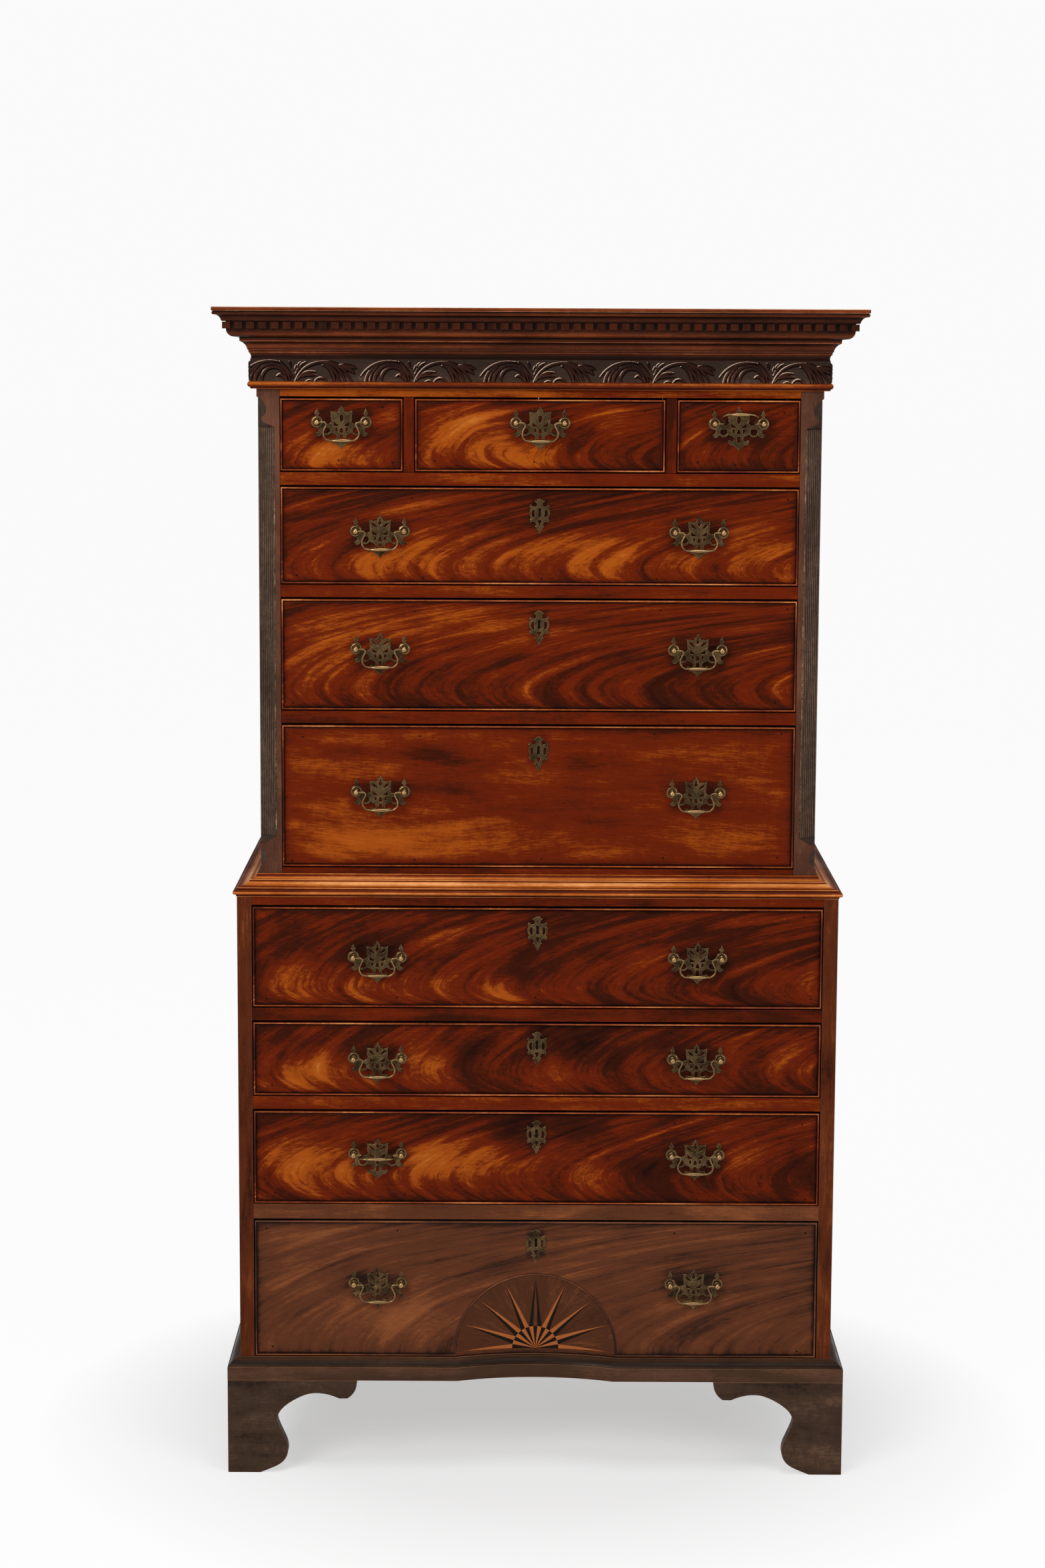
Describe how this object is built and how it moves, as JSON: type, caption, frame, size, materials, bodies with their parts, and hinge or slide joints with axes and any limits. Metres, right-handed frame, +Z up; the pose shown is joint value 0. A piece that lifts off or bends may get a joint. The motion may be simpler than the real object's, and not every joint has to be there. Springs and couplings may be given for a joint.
{
  "type": "chest on chest",
  "caption": "Tall chest of drawers in two stages with reeded canted corners, dentil cornice, carved frieze, arched recess in the bottom drawer, pierced brass swing handles and bracket feet.",
  "frame": {"origin": "on the floor, under the middle of the bounding box", "axes": "+Z up, -Y out of the drawer fronts, +X to the right as seen from the front"},
  "size_m": [1.016, 0.5752, 1.872],
  "materials": {
    "show_wood": "polished mahogany",
    "show_wood_dark": "dark polished mahogany",
    "drawer_wood": "polished flame mahogany front, oak linings",
    "oak": "unpolished oak",
    "brass": "old lacquered brass, tarnished"
  },
  "bodies": {
    "cabinet": {"bracket_feet": "show_wood_dark", "foot_blocks": "oak", "plinth_moulding": "show_wood", "lower_sides": "show_wood", "lower_rails": "show_wood", "lower_dustboards": "oak", "lower_back": "oak", "waist_moulding": "show_wood", "upper_sides": "show_wood", "reeded_corners": "show_wood", "upper_rails": "show_wood", "upper_dustboards": "oak", "upper_back": "oak", "frieze_and_astragal": "show_wood_dark", "cornice": "show_wood_dark", "dentils": "show_wood_dark"},
    "short_drawer_left": {"short_drawer_left_wood": "drawer_wood", "short_drawer_left_brasses": "brass"},
    "short_drawer_left_bail": {"short_drawer_left_bail": "brass"},
    "short_drawer_centre": {"short_drawer_centre_wood": "drawer_wood", "short_drawer_centre_brasses": "brass"},
    "short_drawer_centre_bail": {"short_drawer_centre_bail": "brass"},
    "short_drawer_right": {"short_drawer_right_wood": "drawer_wood", "short_drawer_right_brasses": "brass"},
    "short_drawer_right_bail": {"short_drawer_right_bail": "brass"},
    "upper_drawer_one": {"upper_drawer_one_wood": "drawer_wood", "upper_drawer_one_brasses": "brass"},
    "upper_drawer_one_bail_left": {"upper_drawer_one_bail_left": "brass"},
    "upper_drawer_one_bail_right": {"upper_drawer_one_bail_right": "brass"},
    "upper_drawer_one_lock_bolt": {"upper_drawer_one_lock_bolt": "brass"},
    "upper_drawer_two": {"upper_drawer_two_wood": "drawer_wood", "upper_drawer_two_brasses": "brass"},
    "upper_drawer_two_bail_left": {"upper_drawer_two_bail_left": "brass"},
    "upper_drawer_two_bail_right": {"upper_drawer_two_bail_right": "brass"},
    "upper_drawer_two_lock_bolt": {"upper_drawer_two_lock_bolt": "brass"},
    "upper_drawer_three": {"upper_drawer_three_wood": "drawer_wood", "upper_drawer_three_brasses": "brass"},
    "upper_drawer_three_bail_left": {"upper_drawer_three_bail_left": "brass"},
    "upper_drawer_three_bail_right": {"upper_drawer_three_bail_right": "brass"},
    "upper_drawer_three_lock_bolt": {"upper_drawer_three_lock_bolt": "brass"},
    "lower_drawer_one": {"lower_drawer_one_wood": "drawer_wood", "lower_drawer_one_brasses": "brass"},
    "lower_drawer_one_bail_left": {"lower_drawer_one_bail_left": "brass"},
    "lower_drawer_one_bail_right": {"lower_drawer_one_bail_right": "brass"},
    "lower_drawer_one_lock_bolt": {"lower_drawer_one_lock_bolt": "brass"},
    "lower_drawer_two": {"lower_drawer_two_wood": "drawer_wood", "lower_drawer_two_brasses": "brass"},
    "lower_drawer_two_bail_left": {"lower_drawer_two_bail_left": "brass"},
    "lower_drawer_two_bail_right": {"lower_drawer_two_bail_right": "brass"},
    "lower_drawer_two_lock_bolt": {"lower_drawer_two_lock_bolt": "brass"},
    "lower_drawer_three": {"lower_drawer_three_wood": "drawer_wood", "lower_drawer_three_brasses": "brass"},
    "lower_drawer_three_bail_left": {"lower_drawer_three_bail_left": "brass"},
    "lower_drawer_three_bail_right": {"lower_drawer_three_bail_right": "brass"},
    "lower_drawer_three_lock_bolt": {"lower_drawer_three_lock_bolt": "brass"},
    "lower_drawer_four": {"lower_drawer_four_wood": "drawer_wood", "lower_drawer_four_brasses": "brass"},
    "lower_drawer_four_bail_left": {"lower_drawer_four_bail_left": "brass"},
    "lower_drawer_four_bail_right": {"lower_drawer_four_bail_right": "brass"},
    "lower_drawer_four_lock_bolt": {"lower_drawer_four_lock_bolt": "brass"}
  },
  "joints": [
    {"name": "short_drawer_left_slide", "type": "slide", "parent": "cabinet", "child": "short_drawer_left", "axis": [0, -1, 0], "range_m": [0, 0.38]},
    {"name": "short_drawer_left_bail_swing", "type": "hinge", "parent": "short_drawer_left", "child": "short_drawer_left_bail", "pos_m": [-0.31115, -0.22235, 1.6943], "axis": [-1, 0, 0], "range_deg": [-15, 195]},
    {"name": "short_drawer_centre_slide", "type": "slide", "parent": "cabinet", "child": "short_drawer_centre", "axis": [0, -1, 0], "range_m": [0, 0.38]},
    {"name": "short_drawer_centre_bail_swing", "type": "hinge", "parent": "short_drawer_centre", "child": "short_drawer_centre_bail", "pos_m": [0, -0.22235, 1.6943], "axis": [-1, 0, 0], "range_deg": [-15, 195]},
    {"name": "short_drawer_right_slide", "type": "slide", "parent": "cabinet", "child": "short_drawer_right", "axis": [0, -1, 0], "range_m": [0, 0.38]},
    {"name": "short_drawer_right_bail_swing", "type": "hinge", "parent": "short_drawer_right", "child": "short_drawer_right_bail", "pos_m": [0.31115, -0.22235, 1.6943], "axis": [-1, 0, 0], "range_deg": [-137, 73]},
    {"name": "upper_drawer_one_slide", "type": "slide", "parent": "cabinet", "child": "upper_drawer_one", "axis": [0, -1, 0], "range_m": [0, 0.38]},
    {"name": "upper_drawer_one_bail_left_swing", "type": "hinge", "parent": "upper_drawer_one", "child": "upper_drawer_one_bail_left", "pos_m": [-0.251, -0.22235, 1.5242], "axis": [-1, 0, 0], "range_deg": [-15, 195]},
    {"name": "upper_drawer_one_bail_right_swing", "type": "hinge", "parent": "upper_drawer_one", "child": "upper_drawer_one_bail_right", "pos_m": [0.251, -0.22235, 1.5242], "axis": [-1, 0, 0], "range_deg": [-15, 195]},
    {"name": "upper_drawer_one_lock_bolt_slide", "type": "slide", "parent": "upper_drawer_one", "child": "upper_drawer_one_lock_bolt", "axis": [0, 0, 1], "range_m": [0, 0.008]},
    {"name": "upper_drawer_two_slide", "type": "slide", "parent": "cabinet", "child": "upper_drawer_two", "axis": [0, -1, 0], "range_m": [0, 0.38]},
    {"name": "upper_drawer_two_bail_left_swing", "type": "hinge", "parent": "upper_drawer_two", "child": "upper_drawer_two_bail_left", "pos_m": [-0.251, -0.22235, 1.3383], "axis": [-1, 0, 0], "range_deg": [-15, 195]},
    {"name": "upper_drawer_two_bail_right_swing", "type": "hinge", "parent": "upper_drawer_two", "child": "upper_drawer_two_bail_right", "pos_m": [0.251, -0.22235, 1.3383], "axis": [-1, 0, 0], "range_deg": [-15, 195]},
    {"name": "upper_drawer_two_lock_bolt_slide", "type": "slide", "parent": "upper_drawer_two", "child": "upper_drawer_two_lock_bolt", "axis": [0, 0, 1], "range_m": [0, 0.008]},
    {"name": "upper_drawer_three_slide", "type": "slide", "parent": "cabinet", "child": "upper_drawer_three", "axis": [0, -1, 0], "range_m": [0, 0.38]},
    {"name": "upper_drawer_three_bail_left_swing", "type": "hinge", "parent": "upper_drawer_three", "child": "upper_drawer_three_bail_left", "pos_m": [-0.251, -0.22235, 1.1104], "axis": [-1, 0, 0], "range_deg": [-15, 195]},
    {"name": "upper_drawer_three_bail_right_swing", "type": "hinge", "parent": "upper_drawer_three", "child": "upper_drawer_three_bail_right", "pos_m": [0.251, -0.22235, 1.1104], "axis": [-1, 0, 0], "range_deg": [-15, 195]},
    {"name": "upper_drawer_three_lock_bolt_slide", "type": "slide", "parent": "upper_drawer_three", "child": "upper_drawer_three_lock_bolt", "axis": [0, 0, 1], "range_m": [0, 0.008]},
    {"name": "lower_drawer_one_slide", "type": "slide", "parent": "cabinet", "child": "lower_drawer_one", "axis": [0, -1, 0], "range_m": [0, 0.42]},
    {"name": "lower_drawer_one_bail_left_swing", "type": "hinge", "parent": "lower_drawer_one", "child": "lower_drawer_one_bail_left", "pos_m": [-0.255, -0.25635, 0.8492], "axis": [-1, 0, 0], "range_deg": [-15, 195]},
    {"name": "lower_drawer_one_bail_right_swing", "type": "hinge", "parent": "lower_drawer_one", "child": "lower_drawer_one_bail_right", "pos_m": [0.255, -0.25635, 0.8492], "axis": [-1, 0, 0], "range_deg": [-15, 195]},
    {"name": "lower_drawer_one_lock_bolt_slide", "type": "slide", "parent": "lower_drawer_one", "child": "lower_drawer_one_lock_bolt", "axis": [0, 0, 1], "range_m": [0, 0.008]},
    {"name": "lower_drawer_two_slide", "type": "slide", "parent": "cabinet", "child": "lower_drawer_two", "axis": [0, -1, 0], "range_m": [0, 0.42]},
    {"name": "lower_drawer_two_bail_left_swing", "type": "hinge", "parent": "lower_drawer_two", "child": "lower_drawer_two_bail_left", "pos_m": [-0.255, -0.25635, 0.68445], "axis": [-1, 0, 0], "range_deg": [-15, 195]},
    {"name": "lower_drawer_two_bail_right_swing", "type": "hinge", "parent": "lower_drawer_two", "child": "lower_drawer_two_bail_right", "pos_m": [0.255, -0.25635, 0.68445], "axis": [-1, 0, 0], "range_deg": [-15, 195]},
    {"name": "lower_drawer_two_lock_bolt_slide", "type": "slide", "parent": "lower_drawer_two", "child": "lower_drawer_two_lock_bolt", "axis": [0, 0, 1], "range_m": [0, 0.008]},
    {"name": "lower_drawer_three_slide", "type": "slide", "parent": "cabinet", "child": "lower_drawer_three", "axis": [0, -1, 0], "range_m": [0, 0.42]},
    {"name": "lower_drawer_three_bail_left_swing", "type": "hinge", "parent": "lower_drawer_three", "child": "lower_drawer_three_bail_left", "pos_m": [-0.255, -0.25635, 0.5276], "axis": [-1, 0, 0], "range_deg": [-107, 103]},
    {"name": "lower_drawer_three_bail_right_swing", "type": "hinge", "parent": "lower_drawer_three", "child": "lower_drawer_three_bail_right", "pos_m": [0.255, -0.25635, 0.5276], "axis": [-1, 0, 0], "range_deg": [-15, 195]},
    {"name": "lower_drawer_three_lock_bolt_slide", "type": "slide", "parent": "lower_drawer_three", "child": "lower_drawer_three_lock_bolt", "axis": [0, 0, 1], "range_m": [0, 0.008]},
    {"name": "lower_drawer_four_slide", "type": "slide", "parent": "cabinet", "child": "lower_drawer_four", "axis": [0, -1, 0], "range_m": [0, 0.42]},
    {"name": "lower_drawer_four_bail_left_swing", "type": "hinge", "parent": "lower_drawer_four", "child": "lower_drawer_four_bail_left", "pos_m": [-0.255, -0.25635, 0.3133], "axis": [-1, 0, 0], "range_deg": [-15, 195]},
    {"name": "lower_drawer_four_bail_right_swing", "type": "hinge", "parent": "lower_drawer_four", "child": "lower_drawer_four_bail_right", "pos_m": [0.255, -0.25635, 0.3133], "axis": [-1, 0, 0], "range_deg": [-15, 195]},
    {"name": "lower_drawer_four_lock_bolt_slide", "type": "slide", "parent": "lower_drawer_four", "child": "lower_drawer_four_lock_bolt", "axis": [0, 0, 1], "range_m": [0, 0.008]}
  ]
}
